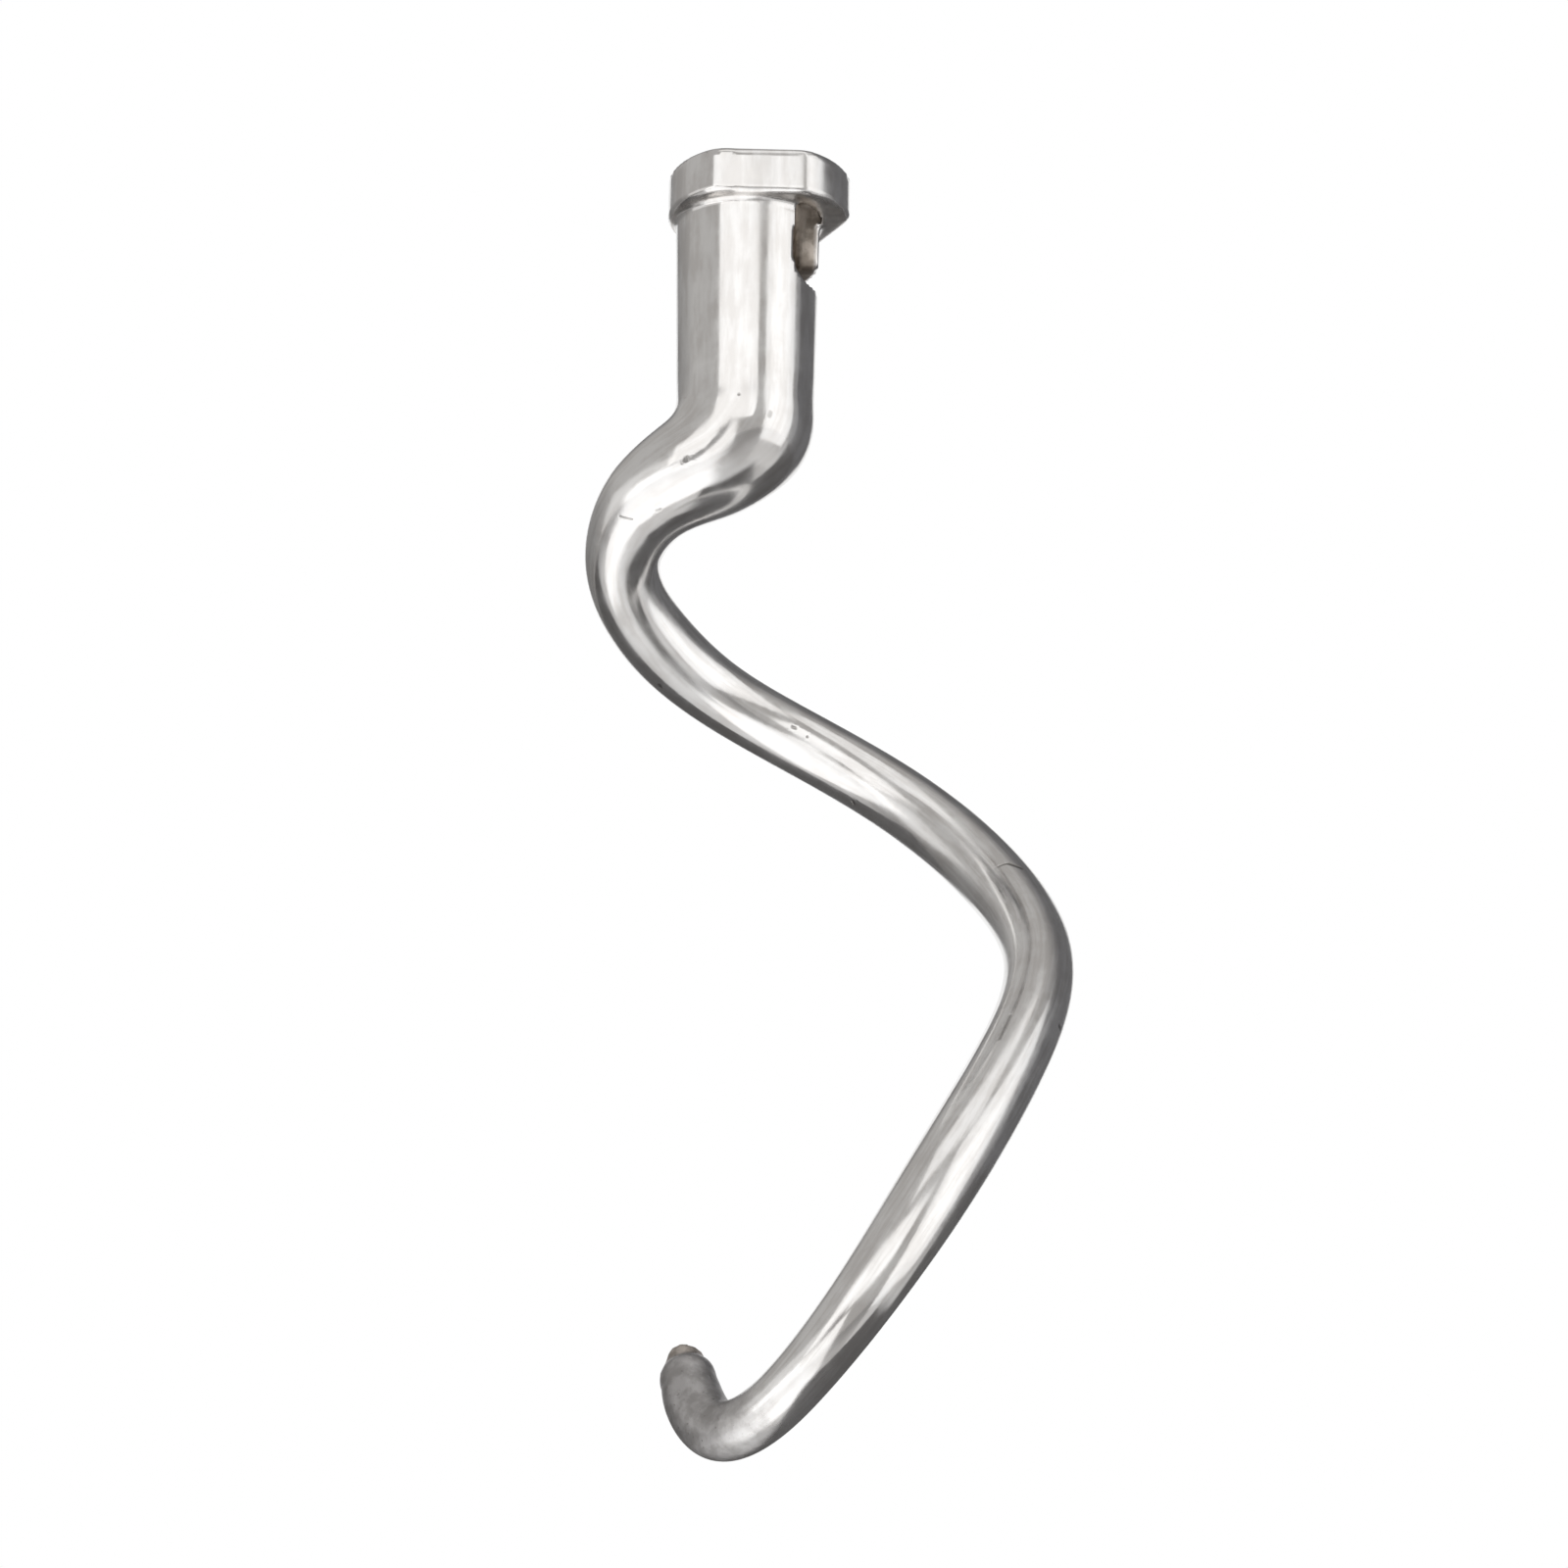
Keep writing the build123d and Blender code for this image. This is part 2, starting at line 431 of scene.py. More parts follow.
def radialPrism(f, name, corners, inner, outer):
    # an outline drawn round the axis, pushed through the wall
    middle = (inner + outer) / 2
    flat = roundedOutline(f, [(radians(angle) * middle, z, rounding) for angle, z, rounding in corners])
    loops = [[around(p.x / middle * 180 / pi, r, p.y) for p in flat] for r in (inner, outer)]
    return layeredSolid(name, loops)


def combine(body, tool, operation):
    modifier = body.modifiers.new(operation, "BOOLEAN")
    modifier.operation = operation
    modifier.solver = "EXACT"
    modifier.object = tool
    body.data = evaluatedMesh(body)
    body.modifiers.clear()
    bpy.data.objects.remove(tool)
    return body


def makeCasting(f, tube, tip, heading):
    slot = radialPrism(f, "slot", [
        (f["slotNear"], f["slotTop"], 0),
        (f["slotNear"], f["slotFloor"], f["nearRounding"]),
        (f["slotEnd"], f["slotFloor"], f["endRounding"]),
        (f["slotEnd"], f["lugUnderside"], f["endRounding"]),
        (f["slotLug"], f["lugUnderside"], f["lugRounding"]),
        (f["slotLug"], f["slotTop"], 0),
    ], f["cutInner"], f["cutOuter"])
    low, high = f["collarUnderside"] - f["overlap"], f["collarTop"] + f["overlap"]
    keyway = radialPrism(f, "keyway", [
        (f["slotNear"], high, 0),
        (f["slotNear"], low, 0),
        (f["slotLug"], low, 0),
        (f["slotLug"], high, 0),
    ], f["cutInner"], f["keywayRadius"])
    boreRadius, boreDepth = driveSocket["r_mm"], driveSocket["length_mm"]
    drillDepth = boreRadius / (sin(f["drillPoint"] / 2) / cos(f["drillPoint"] / 2))
    mouth = f["mouthChamfer"] + f["overlap"]
    bore = lathe("bore", [
        (boreRadius + mouth, mouth),
        (boreRadius, 0),
        (boreRadius, -boreDepth),
        (f["drillTip"], -boreDepth - drillDepth),
    ], f["boreSides"])
    wide, narrow = f["stubRadius"], f["stubRadius"] - f["stubChamfer"]
    stub = lathe("stub", [
        (wide, 0),
        (wide, f["stubHeight"] - f["stubChamfer"]),
        (narrow, f["stubHeight"]),
    ], f["stubSides"])
    across = Vector((1, 0, 0))
    across = (across - heading * across.dot(heading)).normalized()
    seat = Matrix((across, heading.cross(across), heading)).transposed().to_4x4()
    seat = Matrix.Translation(tip * mm) @ seat @ Matrix.Translation((-f["stubOffset"] * mm, 0, 0))
    stub.data.transform(seat @ Matrix.Rotation(f["stubLean"], 4, "Y"))

    body = combine(tube, slot, "DIFFERENCE")
    body = combine(body, combine(makeCollar(f), keyway, "DIFFERENCE"), "UNION")
    body = combine(body, stub, "UNION")
    return combine(body, bore, "DIFFERENCE")


# one even skin over the joined forms, drawn back onto the true surfaces away from the edges

castSkin = {
    "voxel": 0.7 * mm,
    "smoothing": 8,
    "smoothShare": 0.5,
    "snapFull": 0.10,          # mm off the true surface
    "snapEnd": 0.40,
    "fineGap": 0.25,
    "batch": 3000,             # points looked up at a time
    "elbowFadeIn": 5.0,
    "elbowFadeOut": 8.0,
    "tipLead": 1.5,            # the tip's own skin begins before the arm's end
    "tipFade": 4.0,
    "collarClear": 0.9,
    "collarSide": 4.0,         # half the height of the collar's plain side
    "relaxing": 2,
    "relaxSteps": 6,
    "relaxShare": 0.5,
    "wallLeast": 2.0,
}


def smoothStep(value, low, high):
    t = np.clip((value - low) / (high - low), 0, 1)
    return t * t * (3 - 2 * t)


def remesh(body, s):
    modifier = body.modifiers.new("skin", "REMESH")
    modifier.mode = "VOXEL"
    modifier.voxel_size = s["voxel"]
    soft = body.modifiers.new("soft", "SMOOTH")
    soft.factor = s["smoothShare"]
    soft.iterations = s["smoothing"]
    body.data = evaluatedMesh(body)
    body.modifiers.clear()
    return body


def footOnLine(points, line, h, s):
    # nearest place on the hook's line for each point: its index, how far off, and round which side
    spots, radii = line[:, :3], line[:, 3]
    ahead = np.gradient(spots, axis=0)
    pace = np.linalg.norm(ahead, axis=1, keepdims=True)
    ahead /= pace
    swell = np.gradient(radii) / pace[:, 0]
    across = np.zeros_like(ahead)
    side = np.array((0.0, -1.0, 0.0))
    for i, a in enumerate(ahead):
        side = side - a * side.dot(a)
        side /= np.linalg.norm(side)
        across[i] = side
    nearest = np.empty(len(points), int)
    for start in range(0, len(points), s["batch"]):
        part = points[start:start + s["batch"]]
        gaps = (part**2).sum(1)[:, None] - 2 * part @ spots.T + (spots**2).sum(1)
        nearest[start:start + s["batch"]] = gaps.argmin(1)
    slide = ((points - spots[nearest]) * ahead[nearest]).sum(1)
    foot = spots[nearest] + ahead[nearest] * slide[:, None]
    out = points - foot
    distance = np.linalg.norm(out, axis=1)
    out /= np.maximum(distance, tiny)[:, None]
    along = np.concatenate(([0], np.cumsum(np.linalg.norm(np.diff(spots, axis=0), axis=1))))
    aside = np.cross(ahead, across)
    return {
        "foot": foot,
        "out": out,
        "distance": distance,
        "radius": radii[nearest] + swell[nearest] * slide,
        "along": along[nearest] + slide,
        "length": along[-1],
        "elbowStart": along[np.argmax(spots[:, 2] < h["shankEnd"] + h["elbowLead"])],
        "armStart": along[np.argmax(spots[:, 2] < h["shankEnd"] - h["elbowDrop"])],     # past the elbow
        "sideX": (out * across[nearest]).sum(1),
        "sideY": (out * aside[nearest]).sum(1),
    }


def elbowShare(near, s):
    into = smoothStep(near["along"], near["elbowStart"] - s["elbowFadeIn"], near["elbowStart"])
    return into * (1 - smoothStep(near["along"], near["armStart"], near["armStart"] + s["elbowFadeOut"]))


def snapSkin(points, f, s, near, tipStart):
    # onto the tapering tube
    off = np.abs(near["distance"] - near["radius"])
    pull = 1 - smoothStep(off, s["snapFull"], s["snapEnd"])
    pull = np.where(near["along"] > near["armStart"], 1.0, pull) * (1 - elbowShare(near, s))
    pull = pull * (1 - smoothStep(near["along"], tipStart - s["tipFade"], tipStart))
    pull = pull * (points[:, 2] < f["collarUnderside"] - s["collarClear"])
    true = near["foot"] + near["out"] * near["radius"][:, None]
    points = points + (true - points) * pull[:, None]
    # onto the collar's own outline
    own = points - np.array((f["collarCentre"], 0, 0))
    angle = np.arctan2(own[:, 1], own[:, 0])
    reach = np.hypot(own[:, 0], own[:, 1])
    target = collarReach(f, angle, 0)
    middle = (f["collarTop"] + f["collarUnderside"]) / 2
    off = np.abs(reach - target) + np.maximum(np.abs(points[:, 2] - middle) - s["collarSide"], 0)
    pull = 1 - smoothStep(off, s["snapFull"], s["snapEnd"])
    points[:, :2] *= (1 + (target / np.maximum(reach, tiny) - 1) * pull)[:, None]
    return points


def relaxSkin(points, edges, free, s):
    # each free point moves towards the middle of its neighbours
    for step in range(s["relaxSteps"]):
        total, count = np.zeros_like(points), np.zeros(len(points))
        for a, b in ((0, 1), (1, 0)):
            np.add.at(total, edges[:, a], points[edges[:, b]])
            np.add.at(count, edges[:, a], 1)
        points = points + (total / count[:, None] - points) * s["relaxShare"] * free[:, None]
    return points


def storePoints(mesh, name, kind, values):
    layer = mesh.attributes.new(name, kind, "POINT")
    field = "vector" if kind == "FLOAT_VECTOR" else "value"
    layer.data.foreach_set(field, np.ascontiguousarray(values, float).ravel())


rows, heading = hookCentreline(hookLine)
tube = makeTube(hookLine, rows, None)
print("tube", len(tube.data.polygons), "faces")
tip = Vector(rows[-1 - hookLine["domeRings"], :3])
body = makeCasting(castForms, tube, tip, Vector(heading))
print("casting joined", len(body.data.polygons), "faces")
body = remesh(body, castSkin)
print("skin", len(body.data.polygons), "faces")


# what the skin is like from place to place: lay of the polish, bare casting with painted shade in the
# recesses and under the collar, dull ends

bareAndShadeZones = {
    # ramps in mm, from polished to bare casting, whose darker colour in the recesses and under the collar is
    # also painted shade
    "belowShank": 3.0,         # the bore's point ends within this
    "wall": (0.3, 1.0),
    "keyway": (0.0, 0.8),
    "mouth": (0.9, 0.3),       # below the collar's top
    "underReach": (0.2, 0.8),
    "underHeight": (0.1, 0.5),
    "underDepth": 2.0,
    "underShare": 0.4,
    "stub": (1.2, 3.0),
    "stubShare": 0.75,
}


def dressSkin(body, h, f, s, z):
    mesh = body.data
    points = np.empty(len(mesh.vertices) * 3)
    mesh.vertices.foreach_get("co", points)
    points = points.reshape(-1, 3) / mm
    fine, _ = hookCentreline(dict(h, ringGap=s["fineGap"]))
    fine = fine[:-1 - h["domeRings"]]
    edges = np.empty(len(mesh.edges) * 2, int)
    mesh.edges.foreach_get("vertices", edges)
    near = footOnLine(points, fine, h, s)
    tipStart = near["length"] - s["tipLead"]
    for step in range(s["relaxing"]):
        points = snapSkin(points, f, s, near, tipStart)
        free = (near["along"] > near["armStart"]) & (near["along"] < tipStart)
        outer = near["distance"] > near["radius"] - s["wallLeast"]     # not the bore's wall
        points = relaxSkin(points, edges.reshape(-1, 2), np.maximum(free, elbowShare(near, s)) * outer, s)
        near = footOnLine(points, fine, h, s)
    points = snapSkin(points, f, s, near, tipStart)
    mesh.vertices.foreach_set("co", (points * mm).ravel())
    mesh.update()

    reach = np.hypot(points[:, 0], points[:, 1])
    height = points[:, 2]
    # bare casting inside the slot, bore and keyway, under the collar and on the stub; in the recesses and
    # under the collar its darker colour is also painted shade
    inside = smoothStep(shankRadiusAt(height) - reach, *z["wall"])
    inside = (height > h["shankEnd"] - z["belowShank"]) * inside
    inKeyway = smoothStep(f["keywayRadius"] - reach, *z["keyway"])
    inside = np.where(height > f["collarUnderside"], inKeyway, inside)
    low, high = (f["collarTop"] - depth for depth in z["mouth"])
    inside = inside * (1 - smoothStep(height, low, high))
    under = smoothStep(reach - h["shankRadius"], *z["underReach"])
    under = under * (1 - smoothStep(height - f["collarUnderside"], *z["underHeight"]))
    under = under * (height > f["collarUnderside"] - z["underDepth"])
    stub = smoothStep(near["along"] - near["length"], *z["stub"])
    bareAndShade = np.maximum(np.maximum(inside, z["underShare"] * under), z["stubShare"] * stub)
    storePoints(mesh, "lay", "FLOAT_VECTOR", np.column_stack((near["sideX"], near["sideY"], near["along"])))
    storePoints(mesh, "bareAndShade", "FLOAT", bareAndShade)
    storePoints(mesh, "toEnd", "FLOAT", near["length"] - near["along"])
    storePoints(mesh, "mark", "FLOAT", np.zeros(len(points)))
    return body


# material: polished cast aluminium, with bare casting and painted shade in the recesses and under the collar,
# and a dull tip

metalLook = {
    "polished": (0.86, 0.856, 0.85, 1),
    "worn": (0.735, 0.72, 0.705, 1),
    # bare casting's brown, also darkened as painted shade for the recesses and under the collar
    "bareShadedLight": (0.66, 0.60, 0.54, 1),
    "bareShadedDark": (0.38, 0.335, 0.29, 1),
    "dullLight": (0.52, 0.51, 0.51, 1),
    "dullDark": (0.39, 0.38, 0.375, 1),
    "pitted": (0.24, 0.23, 0.22, 1),
    "marked": (0.20, 0.19, 0.175, 1),
    "polishFinest": 0.10,
    "polishCoarsest": 0.23,
    "lineDepth": 0.05,
    "dullRoughness": 0.42,
    "bareRoughness": 0.50,
    "dullStart": 18.0,         # mm from the tip
    "dullEnd": 36.0,
    "raggedness": 30.0,        # mm, how unevenly the dull end begins
    "toneRange": (0.38, 0.62),
    "pitRange": (0.63, 0.72),
    "rubRange": (0.38, 0.60),
    "cloudRange": (0.36, 0.62),
    "bumpStrength": 0.6,
    "bumpDistance": 0.12 * mm,
}


def polishGroup():
    # lines left along the hook by the polishing wheel, fine ones and broad ones
    tree = bpy.data.node_groups.new("polishLines", "ShaderNodeTree")
    inputs = [("Lay", "NodeSocketVector", None), ("Fineness", "NodeSocketFloat", 26.0),
              ("Stretch", "NodeSocketFloat", 0.012), ("Streak share", "NodeSocketFloat", 0.3),
              ("Patch scale", "NodeSocketFloat", 3.0)]
    outputs = [("Height", "NodeSocketFloat"), ("Streak", "NodeSocketFloat"), ("Patch", "NodeSocketFloat")]
    start, end = groupSockets(tree, inputs, outputs)
    given = start.outputs
    parts = addNode(tree, "ShaderNodeSeparateXYZ", i0=given["Lay"])
    slow = mathNode(tree, "MULTIPLY", parts.outputs[2], given["Stretch"])
    lay = addNode(tree, "ShaderNodeCombineXYZ", i0=parts.outputs[0], i1=parts.outputs[1], i2=slow)
    streakScale = mathNode(tree, "MULTIPLY", given["Fineness"], given["Streak share"])
    layers = [
        ("Height", given["Fineness"], 4.0),
        ("Streak", streakScale, 5.0),
        ("Patch", given["Patch scale"], 3.0),
    ]
    for name, scale, detail in layers:
        noise = addNode(tree, "ShaderNodeTexNoise", Vector=lay.outputs[0], Scale=scale, Detail=detail)
        tree.links.new(noise.outputs[0], end.inputs[name])
    return tree


def grainGroup():
    # the sandy skin of the mould, and the soft smudges that polish leaves on it
    tree = bpy.data.node_groups.new("castGrain", "ShaderNodeTree")
    inputs = [("Place", "NodeSocketVector", None), ("Scale", "NodeSocketFloat", 900.0)]
    outputs = [("Height", "NodeSocketFloat"), ("Tone", "NodeSocketFloat"), ("Smudge", "NodeSocketFloat")]
    start, end = groupSockets(tree, inputs, outputs)
    for name, share, detail in (("Height", 1.0, 4.0), ("Tone", 0.35, 4.0), ("Smudge", 0.13, 6.0)):
        scale = mathNode(tree, "MULTIPLY", start.outputs["Scale"], share)
        noise = addNode(tree, "ShaderNodeTexNoise", Vector=start.outputs["Place"], Scale=scale,
                        Detail=detail, Roughness=0.6)
        tree.links.new(noise.outputs[0], end.inputs[name])
    return tree


def rampNode(tree, value, low, high):
    return addNode(tree, "ShaderNodeMapRange", {"interpolation_type": "SMOOTHSTEP"}, Value=value,
                   From_Min=low, From_Max=high).outputs[0]


def mixColour(tree, share, first, second):
    node = addNode(tree, "ShaderNodeMix", {"data_type": "RGBA"}, i0=share, i6=first, i7=second)
    return node.outputs[2]


def mixValue(tree, share, first, second):
    return addNode(tree, "ShaderNodeMix", {"data_type": "FLOAT"}, i0=share, i2=first, i3=second).outputs[0]


def metalMaterial(m):
    material = bpy.data.materials.new("castAluminium")
    material.use_nodes = True
    tree = material.node_tree
    shader = tree.nodes["Principled BSDF"]
    shader.inputs["Metallic"].default_value = 1.0
    lay = addNode(tree, "ShaderNodeAttribute", {"attribute_name": "lay"}).outputs["Vector"]
    bareAndShade = addNode(tree, "ShaderNodeAttribute", {"attribute_name": "bareAndShade"}).outputs["Fac"]
    toEnd = addNode(tree, "ShaderNodeAttribute", {"attribute_name": "toEnd"}).outputs["Fac"]
    mark = addNode(tree, "ShaderNodeAttribute", {"attribute_name": "mark"}).outputs["Fac"]
    place = tree.nodes.new("ShaderNodeTexCoord").outputs["Object"]
    polish = addNode(tree, "ShaderNodeGroup", {"node_tree": polishGroup()}, Lay=lay)
    grain = addNode(tree, "ShaderNodeGroup", {"node_tree": grainGroup()}, Place=place)

    tone, smudge = grain.outputs["Tone"], grain.outputs["Smudge"]
    ragged = mathNode(tree, "MULTIPLY", mathNode(tree, "SUBTRACT", smudge, 0.5), m["raggedness"])
    dull = rampNode(tree, mathNode(tree, "ADD", toEnd, ragged), m["dullEnd"], m["dullStart"])
    mixed = rampNode(tree, tone, *m["toneRange"])
    # bare casting's colour, which is also painted shade where the bare mask lies in the recesses and under
    # the collar
    bareShadedTone = mixColour(tree, mixed, m["bareShadedDark"], m["bareShadedLight"])
    dullTone = mixColour(tree, mixed, m["dullDark"], m["dullLight"])
    pits = rampNode(tree, grain.outputs["Height"], *m["pitRange"])
    dullTone = mixColour(tree, pits, dullTone, m["pitted"])
    rubbed = mathNode(tree, "MULTIPLY", mathNode(tree, "ADD", polish.outputs["Streak"], smudge), 0.5)
    shine = mixColour(tree, rampNode(tree, rubbed, *m["rubRange"]), m["worn"], m["polished"])
    colour = mixColour(tree, dull, shine, dullTone)
    colour = mixColour(tree, bareAndShade, colour, bareShadedTone)
    colour = mixColour(tree, mark, colour, m["marked"])
    tree.links.new(colour, shader.inputs["Base Color"])

    cloudy = mathNode(tree, "MULTIPLY", mathNode(tree, "ADD", polish.outputs["Patch"], smudge), 0.5)
    rough = rampNode(tree, cloudy, *m["cloudRange"])
    rough = mixValue(tree, rough, m["polishFinest"], m["polishCoarsest"])
    rough = mixValue(tree, dull, rough, m["dullRoughness"])
    rough = mixValue(tree, bareAndShade, rough, m["bareRoughness"])
    tree.links.new(rough, shader.inputs["Roughness"])

    sandy = mathNode(tree, "MAXIMUM", bareAndShade, dull)
    lines = mathNode(tree, "MULTIPLY", polish.outputs["Height"], m["lineDepth"])
    height = mixValue(tree, sandy, lines, grain.outputs["Height"])
    bump = addNode(tree, "ShaderNodeBump", Height=height, Strength=m["bumpStrength"],
                   Distance=m["bumpDistance"])
    tree.links.new(bump.outputs[0], shader.inputs["Normal"])
    return material


# the surface itself isn't quite even: slow waves of the casting and long belts left by polishing

surfaceWaves = {
    "Wave_depth": 0.05 * mm,
    "Wave_scale": 30.0,
    "Belt_depth": 0.06 * mm,
    "Belt_scale": 1.2,
    "Belt_stretch": 0.008,
    "Lump_depth": 0.35 * mm,   # at the tip only
    "Lump_scale": 330.0,
    "Lump_length": 9.0,
    "Seed": 4.0,
}


def surfaceTree(w):
    tree = bpy.data.node_groups.new("castSurface", "GeometryNodeTree")
    inputs = [("Mesh", "NodeSocketGeometry", None)]
    inputs += [(name.replace("_", " "), "NodeSocketFloat", 0.0) for name in w]
    inputs += [("Material", "NodeSocketMaterial", None)]
    start, end = groupSockets(tree, inputs, [("Mesh", "NodeSocketGeometry")])
    given = start.outputs
    place = tree.nodes.new("GeometryNodeInputPosition").outputs[0]

    def risen(where, scale, detail, depth):
        # noise of a given depth, up and down about the surface
        noise = addNode(tree, "ShaderNodeTexNoise", {"noise_dimensions": "4D"}, Vector=where, W=given["Seed"],
                        Scale=scale, Detail=detail)
        return mathNode(tree, "MULTIPLY", mathNode(tree, "SUBTRACT", noise.outputs[0], 0.5), depth)

    parts = addNode(tree, "ShaderNodeSeparateXYZ", i0=storedValue(tree, "lay", "FLOAT_VECTOR"))
    slow = mathNode(tree, "MULTIPLY", parts.outputs[2], given["Belt stretch"])
    path = addNode(tree, "ShaderNodeCombineXYZ", i0=parts.outputs[0], i1=parts.outputs[1], i2=slow)
    belts = risen(path.outputs[0], given["Belt scale"], 1.0, given["Belt depth"])
    waves = risen(place, given["Wave scale"], 1.0, given["Wave depth"])
    lumps = risen(place, given["Lump scale"], 2.0, given["Lump depth"])
    polished = mathNode(tree, "SUBTRACT", 1.0, storedValue(tree, "bareAndShade", "FLOAT"))
    rise = mathNode(tree, "MULTIPLY", mathNode(tree, "ADD", belts, waves), polished)
    fromEnd = mathNode(tree, "DIVIDE", storedValue(tree, "toEnd", "FLOAT"), given["Lump length"], True)
    atEnd = mathNode(tree, "SUBTRACT", 1.0, fromEnd, True)
    rise = mathNode(tree, "ADD", rise, mathNode(tree, "MULTIPLY", lumps, atEnd))
    normal = tree.nodes.new("GeometryNodeInputNormal").outputs[0]
    push = addNode(tree, "ShaderNodeVectorMath", {"operation": "SCALE"}, i0=normal, Scale=rise)
    moved = addNode(tree, "GeometryNodeSetPosition", Geometry=given["Mesh"], Offset=push.outputs[0])
    smooth = addNode(tree, "GeometryNodeSetShadeSmooth", Geometry=moved.outputs[0])
    whole = addNode(tree, "GeometryNodeRealizeInstances", Geometry=smooth.outputs[0])
    dressed = addNode(tree, "GeometryNodeSetMaterial", Geometry=whole.outputs[0],
                      Material=given["Material"])
    tree.links.new(dressed.outputs[0], end.inputs["Mesh"])
    return tree


body = dressSkin(body, hookLine, castForms, castSkin, bareAndShadeZones)
nodesModifier(body, surfaceTree(surfaceWaves), Material=metalMaterial(metalLook), **surfaceWaves)
hook = addObject("doughHook", evaluatedMesh(body))
bpy.data.objects.remove(body)
print("hook", len(hook.data.polygons), "faces")


# small marks seen in the photo, pressed into the surface where its pixels fall

surfaceMarks = {
    # first pixel, last pixel, half width in mm, depth in mm, darkness
    "shankPit": ((754, 402), (754, 402), 0.45, 0.08, 0.6),
    "shankSmudge": ((786, 421), (785, 424), 0.65, 0.03, 0.45),
    "elbowSmudge": ((701, 468), (700, 469), 0.80, 0.02, 0.5),
    "elbowScuff": ((670, 521), (674, 520), 0.50, 0.02, 0.4),
    "bendDash": ((632, 527), (645, 530), 0.35, 0.06, 0.6),
    "armPit": ((809, 742), (812, 743), 0.45, 0.10, 0.5),
    "armSmallPit": ((824, 752), (824, 752), 0.40, 0.10, 0.5),
    "scratchStart": ((1019, 884), (1028, 881), 0.40, 0.05, 0.8),
    "scratchEnd": ((1028, 881), (1042, 886), 0.55, 0.06, 0.9),
    "runScratch": ((1020, 1060), (1031, 1036), 0.45, 0.08, 0.6),
    "leftNick": ((673, 699), (674, 701), 0.60, 0.12, 0.8),
    "underNick": ((870, 818), (871, 820), 0.60, 0.12, 0.8),
    "rightNick": ((1081, 1047), (1082, 1050), 0.60, 0.12, 0.8),
}
markPress = {
    # in half widths of the mark
    "fineReach": 3.0,
    "fineWidth": 2.5,
    "pressReach": 2.0,
    "cuts": 4,
}


def pressMarks(hook, camera, c, marks, press):
    shape = bmesh.new()
    shape.from_mesh(hook.data)
    tree = BVHTree.FromBMesh(shape)
    found = []
    for first, last, width, depth, darkness in marks.values():
        ends = [tree.ray_cast(*pixelRay(camera, c, pixel))[0] for pixel in (first, last)]
        if None not in ends:
            found.append((*ends, width * mm, depth * mm, darkness))

    def apart(spot, a, b):
        # distance from the line a to b
        line = b - a
        share = max(0.0, min(1.0, (spot - a).dot(line) / max(line.length_squared, tiny * tiny)))
        return (spot - a - line * share).length

    edges = set()
    for a, b, width, _, _ in found:
        reach = (b - a).length / 2 + press["fineReach"] * width
        for face in shape.faces:
            centre = face.calc_center_median()
            if (centre - (a + b) / 2).length < reach and apart(centre, a, b) < press["fineWidth"] * width:
                edges.update(face.edges)
    bmesh.ops.subdivide_edges(shape, edges=list(edges), cuts=press["cuts"], use_grid_fill=True)
    shape.normal_update()
    layer = shape.verts.layers.float["mark"]
    moves = []
    for a, b, width, depth, darkness in found:
        reach = (b - a).length / 2 + press["pressReach"] * width
        for vert in shape.verts:
            if (vert.co - (a + b) / 2).length < reach:
                fall = 1 - (apart(vert.co, a, b) / width)**2
                if fall > 0:
                    moves.append((vert, vert.normal * depth * fall**2, darkness * fall))
    for vert, push, darkness in moves:
        vert.co -= push
        vert[layer] = max(vert[layer], darkness)
    shape.to_mesh(hook.data)
    shape.free()
    return len(found)


pressed = pressMarks(hook, camera, photoCamera, surfaceMarks, markPress)
print("marks", pressed, "faces", len(hook.data.polygons))


# stage: pale floor far below, pale backdrop, large soft panels, a quiet room, cards that only the metal shows

stageLook = {
    "floorHeight": -1.55,
    "floorSize": 5.0,
    "backdropPlace": 4.0,
    "backdropX": (-1.95, 1.95),
    "backdropZ": (-0.36, 2.25),
    "pale": (0.85, 0.85, 0.85, 1),
    "paleRoughness": 0.8,
    "roomFront": (0.475, 0.463, 0.452, 1),
    "darkSides": [             # direction, where it begins, where it is full, colour
        ((-0.75, 0.65, -0.15), 0.70, 1.00, (0.23, 0.225, 0.22, 1)),
        ((0.55, 0.83, 0.05), 0.10, 0.65, (0.15, 0.148, 0.152, 1)),
    ],
    "floorLamp": {"width": 5.0, "brightness": 0.26, "height": -0.95},
    "aim": Vector((0.012, 0.0, -0.12)),
}
softPanels = [
    # name, azimuth from the front, elevation, distance, width, height, brightness
    ("frontPanel", -12.0, 18.0, 1.15, 1.30, 0.64, 0.76),
    ("lowPanel", -36.0, -36.0, 1.20, 1.75, 1.72, 0.76),
    ("leftWash", -66.0, 2.0, 1.20, 1.30, 0.60, 0.30),
    ("rightPanel", 60.0, 9.0, 1.15, 1.10, 1.60, 0.62),
    ("rightWash", 70.0, -8.0, 1.20, 1.40, 1.85, 0.16),
    ("topPanel", 12.0, 62.0, 1.20, 1.00, 0.62, 0.50),
]
greyCard = {
    "azimuth": radians(-20),
    "elevation": radians(-4),
    "from": Vector((0.0, 0.0, -0.055)),    # the elbow, where it shows
    "distance": 0.90,
    "size": (0.22, 0.13),
    "colour": (0.75, 0.74, 0.73, 1),
}
darkFlags = {
    "height": -0.36,
    "colour": (0.21, 0.208, 0.21, 1),
    "areas": [                 # lowest and highest corner
        ((0.03, -0.16), (0.24, 0.06)),
        ((-0.06, 0.06), (1.00, 1.00)),
        ((-0.80, 0.10), (-0.06, 1.00)),
    ],
}


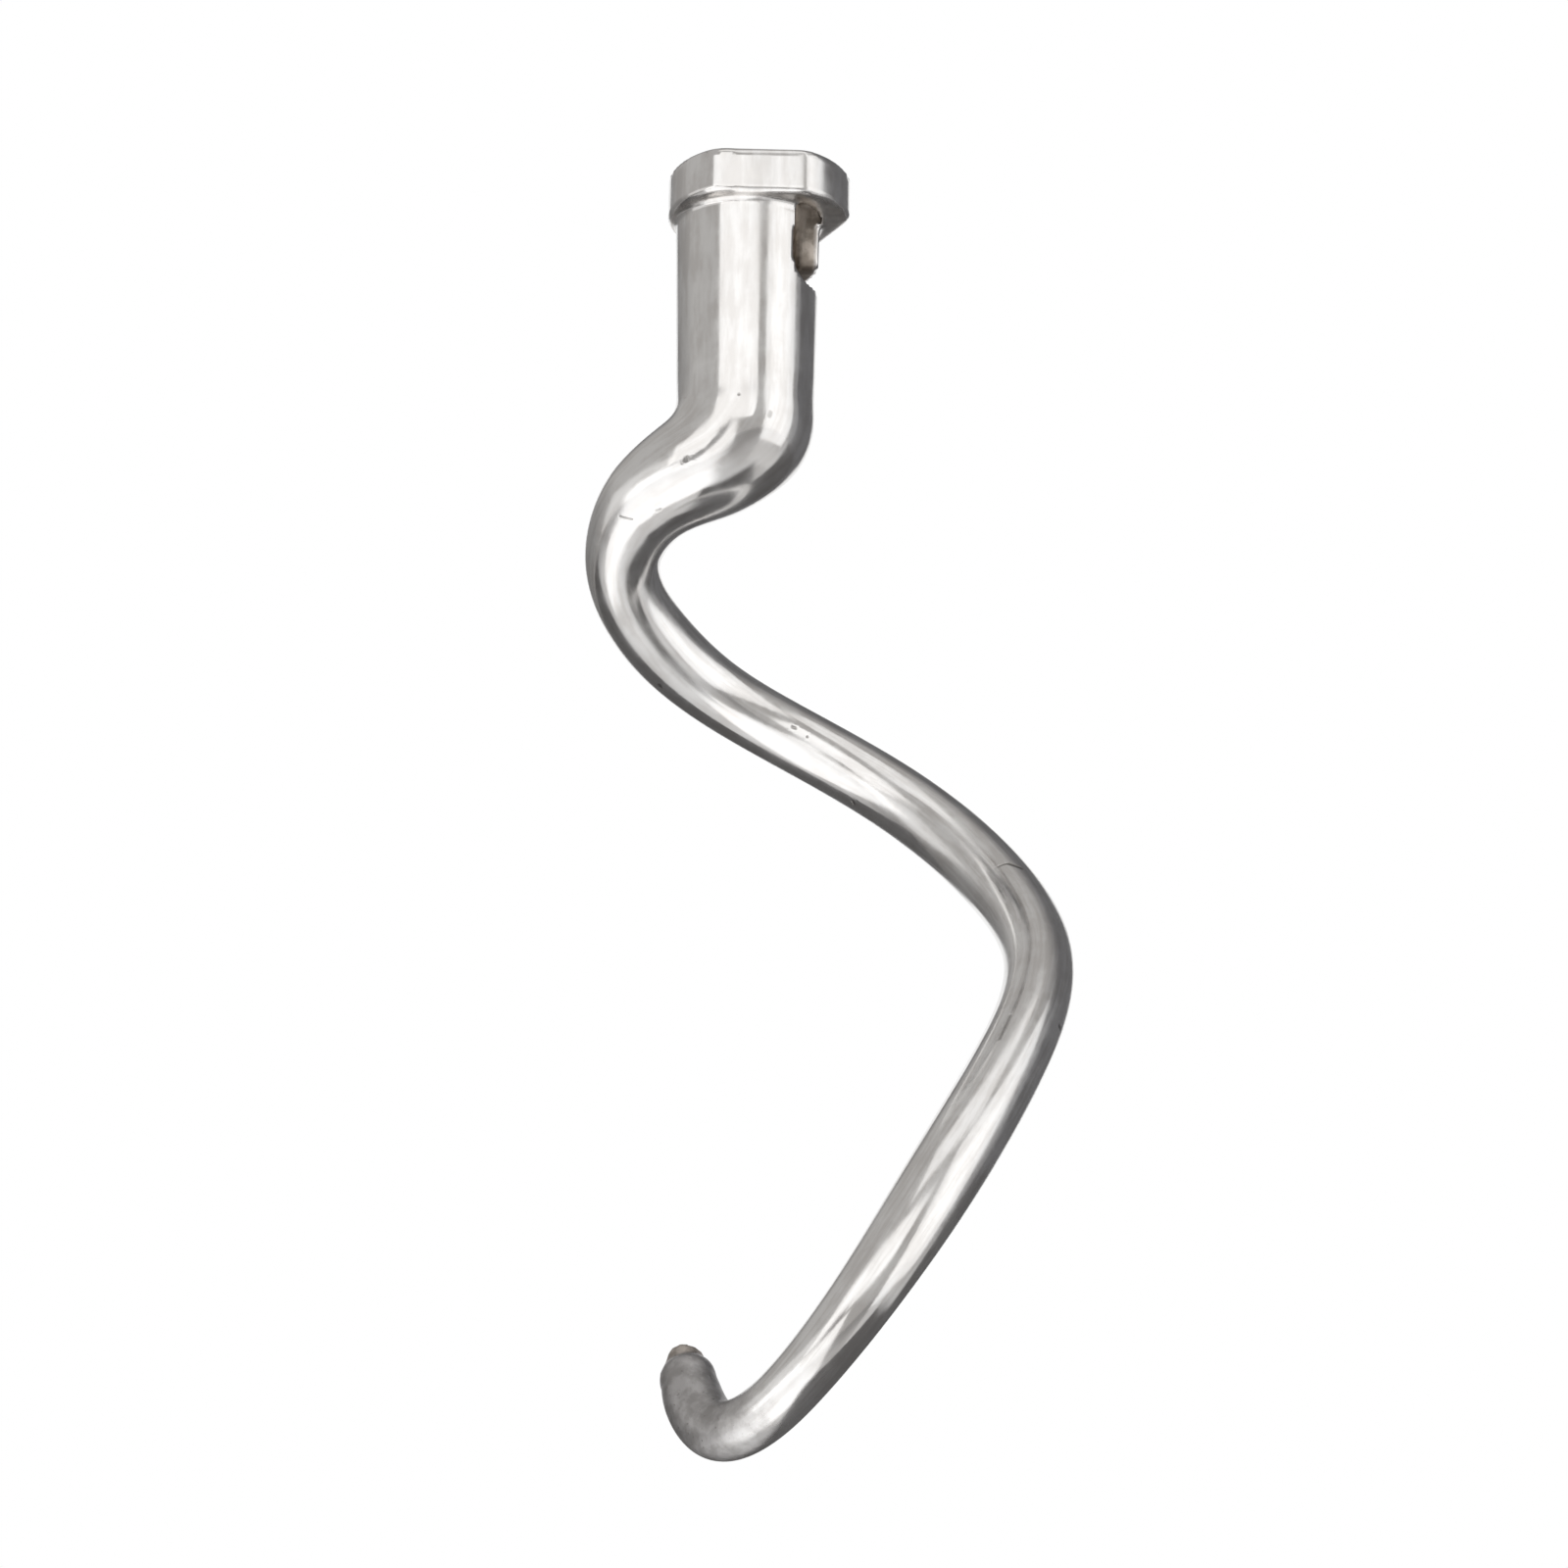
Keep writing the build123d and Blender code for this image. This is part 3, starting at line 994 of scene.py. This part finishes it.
def flatSheet(name, corners, material):
    mesh = bpy.data.meshes.new(name)
    mesh.from_pydata(corners, [], [range(len(corners))])
    mesh.materials.append(material)
    return addObject(name, mesh)


def paleMaterial(name, colour):
    material = bpy.data.materials.new(name)
    material.use_nodes = True
    shader = material.node_tree.nodes["Principled BSDF"]
    shader.inputs["Base Color"].default_value = colour
    shader.inputs["Roughness"].default_value = stageLook["paleRoughness"]
    return material


def backdropMaterial(colour):
    material = paleMaterial("backdrop", colour)
    tree = material.node_tree
    path = tree.nodes.new("ShaderNodeLightPath").outputs
    mirrored = mathNode(tree, "MAXIMUM", path["Is Glossy Ray"], path["Is Transmission Ray"])
    seen = mathNode(tree, "MAXIMUM", path["Is Camera Ray"], mirrored)
    white = addNode(tree, "ShaderNodeEmission", Color=(1, 1, 1, 1), Strength=1.0)
    both = addNode(tree, "ShaderNodeMixShader", i0=seen, i1=tree.nodes["Principled BSDF"].outputs[0],
                   i2=white.outputs[0])
    tree.links.new(both.outputs[0], tree.nodes["Material Output"].inputs["Surface"])
    return material


def makeRoom(s):
    size, z = s["floorSize"], s["floorHeight"]
    floor = flatSheet("floor", [(-size, -size, z), (size, -size, z), (size, size, z), (-size, size, z)],
                      paleMaterial("floor", s["pale"]))
    (left, right), (low, high), y = s["backdropX"], s["backdropZ"], s["backdropPlace"]
    backdrop = flatSheet("backdrop", [(left, y, low), (right, y, low), (right, y, high), (left, y, high)],
                         backdropMaterial(s["pale"]))
    world = bpy.data.worlds.new("room")
    world.use_nodes = True
    scene.world = world
    tree = world.node_tree
    towards = tree.nodes.new("ShaderNodeTexCoord").outputs["Generated"]
    whole = s["roomFront"]
    for direction, begin, full, colour in s["darkSides"]:
        turned = addNode(tree, "ShaderNodeVectorMath", {"operation": "DOT_PRODUCT"}, i0=towards,
                         i1=direction)
        whole = mixColour(tree, rampNode(tree, turned.outputs["Value"], begin, full), whole, colour)
    tree.links.new(whole, tree.nodes["Background"].inputs["Color"])


def makeLamp(name, width, height, brightness, place):
    data = bpy.data.lights.new(name, "AREA")
    data.shape = "RECTANGLE"
    data.size, data.size_y = width, height
    data.energy = brightness * pi * width * height
    light = addObject(name, data)
    light.matrix_world = place
    light.visible_camera = False
    return light


def towardsFront(azimuth, elevation):
    return Vector((sin(azimuth) * cos(elevation), -cos(azimuth) * cos(elevation), sin(elevation)))


def makePanel(name, azimuth, elevation, distance, width, height, brightness, aim):
    towards = towardsFront(radians(azimuth), radians(elevation))
    facing = towards.to_track_quat("Z", "Y").to_matrix().to_4x4()
    makeLamp(name, width, height, brightness, Matrix.Translation(aim + towards * distance) @ facing)


def addCard(name, corners, material):
    # seen only in the metal
    card = flatSheet(name, corners, material)
    card.visible_camera = False
    card.visible_diffuse = False
    card.visible_shadow = False


def makeFlags(f):
    # dark cards below the hook
    dark = paleMaterial("darkCard", f["colour"])
    for k, ((x0, y0), (x1, y1)) in enumerate(f["areas"]):
        z = f["height"]
        addCard("darkFlag" + str(k), [(x0, y0, z), (x1, y0, z), (x1, y1, z), (x0, y1, z)], dark)


def makeGreyCard(c):
    towards = towardsFront(c["azimuth"], c["elevation"])
    middle = c["from"] + towards * c["distance"]
    right = Vector((0, 0, 1)).cross(towards).normalized() * c["size"][0] / 2
    up = towards.cross(right).normalized() * c["size"][1] / 2
    corners = [middle + right * a + up * b for a, b in ((-1, -1), (1, -1), (1, 1), (-1, 1))]
    addCard("greyCard", corners, paleMaterial("greyCard", c["colour"]))


makeRoom(stageLook)
makeFlags(darkFlags)
makeGreyCard(greyCard)
for panel in softPanels:
    makePanel(*panel, stageLook["aim"])
lamp = stageLook["floorLamp"]
lampPlace = Matrix.Translation((0, 0, lamp["height"]))
makeLamp("floorLamp", lamp["width"], lamp["width"], lamp["brightness"], lampPlace)    # faces the floor
print("stage and", len(softPanels), "panels")

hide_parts("dough_hook")
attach(hook, "root")
